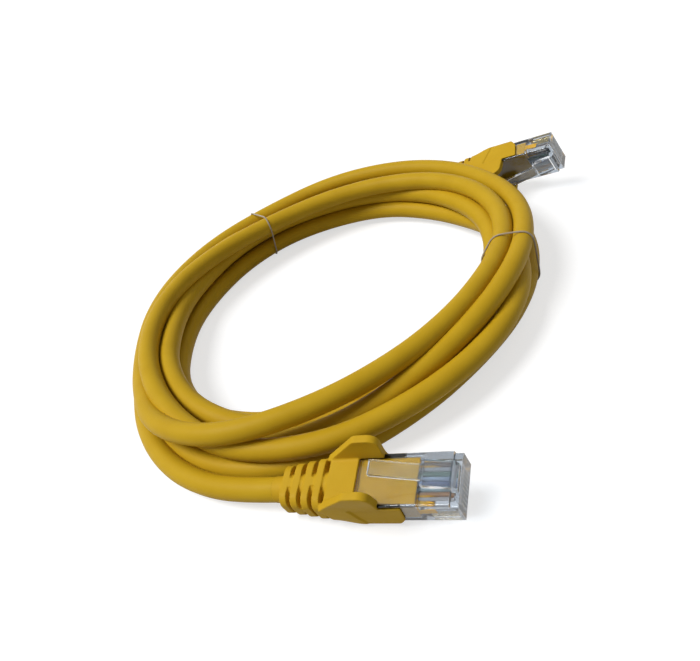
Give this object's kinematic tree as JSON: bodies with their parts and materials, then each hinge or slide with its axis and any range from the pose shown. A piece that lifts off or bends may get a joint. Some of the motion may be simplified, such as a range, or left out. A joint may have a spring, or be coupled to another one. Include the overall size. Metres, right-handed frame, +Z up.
{
  "type": "ethernet patch cable",
  "caption": "Coiled round yellow network patch cable with a clear modular plug and a moulded, ribbed latch-guard boot at each end, held by wire ties.",
  "frame": {"origin": "on the table, under the middle of the box round the two plugs, their boots and the ties", "axes": "+Z up from the table, +Y away from the viewer of the picture, +X to the viewer's right"},
  "size_m": [0.1481, 0.1608, 0.0202],
  "materials": {
    "clear_plastic": "clear, glossy",
    "gold_contact": "polished gold plate",
    "copper": "bare copper",
    "yellow_mould": "satin",
    "yellow_boot": "satin",
    "yellow_jacket": "satin",
    "tie_wire": "satin",
    "white_orange": "satin",
    "orange": "satin",
    "white_green": "satin",
    "blue": "satin",
    "white_blue": "satin",
    "green": "satin",
    "white_brown": "satin",
    "brown": "satin"
  },
  "bodies": {
    "cable": {"plug_housing_a": "clear_plastic", "load_bar_a": "clear_plastic", "contact_1_a": "gold_contact", "contact_2_a": "gold_contact", "contact_3_a": "gold_contact", "contact_4_a": "gold_contact", "contact_5_a": "gold_contact", "contact_6_a": "gold_contact", "contact_7_a": "gold_contact", "contact_8_a": "gold_contact", "wire_1_a": "white_orange", "wire_2_a": "orange", "wire_3_a": "white_green", "wire_4_a": "blue", "wire_5_a": "white_blue", "wire_6_a": "green", "wire_7_a": "white_brown", "wire_8_a": "brown", "copper_cores_a": "copper", "inner_mould_a": "yellow_mould", "boot_a": "yellow_boot", "cable_end_a": "yellow_jacket", "plug_housing_b": "clear_plastic", "load_bar_b": "clear_plastic", "contact_1_b": "gold_contact", "contact_2_b": "gold_contact", "contact_3_b": "gold_contact", "contact_4_b": "gold_contact", "contact_5_b": "gold_contact", "contact_6_b": "gold_contact", "contact_7_b": "gold_contact", "contact_8_b": "gold_contact", "wire_1_b": "white_orange", "wire_2_b": "orange", "wire_3_b": "white_green", "wire_4_b": "blue", "wire_5_b": "white_blue", "wire_6_b": "green", "wire_7_b": "white_brown", "wire_8_b": "brown", "copper_cores_b": "copper", "inner_mould_b": "yellow_mould", "boot_b": "yellow_boot", "cable_end_b": "yellow_jacket", "cable_lead_a": "yellow_jacket", "cable_lead_b": "yellow_jacket", "cable_coil": "yellow_jacket", "tie_far": "tie_wire", "tie_side": "tie_wire"},
    "latch_a": {"latch_a": "clear_plastic"},
    "latch_b": {"latch_b": "clear_plastic"}
  },
  "joints": [
    {"name": "latch_press_a", "type": "hinge", "parent": "cable", "child": "latch_a", "pos_m": [-0.01928, -0.07321, 0.01194], "axis": [-0.4194, -0.8641, -0.2783], "range_deg": [0, 9], "stiffness_Nm_per_rad": 0.05},
    {"name": "latch_press_b", "type": "hinge", "parent": "cable", "child": "latch_b", "pos_m": [0.04865, 0.04016, 0.01196], "axis": [0.3805, 0.2023, -0.9024], "range_deg": [0, 9], "stiffness_Nm_per_rad": 0.05}
  ]
}
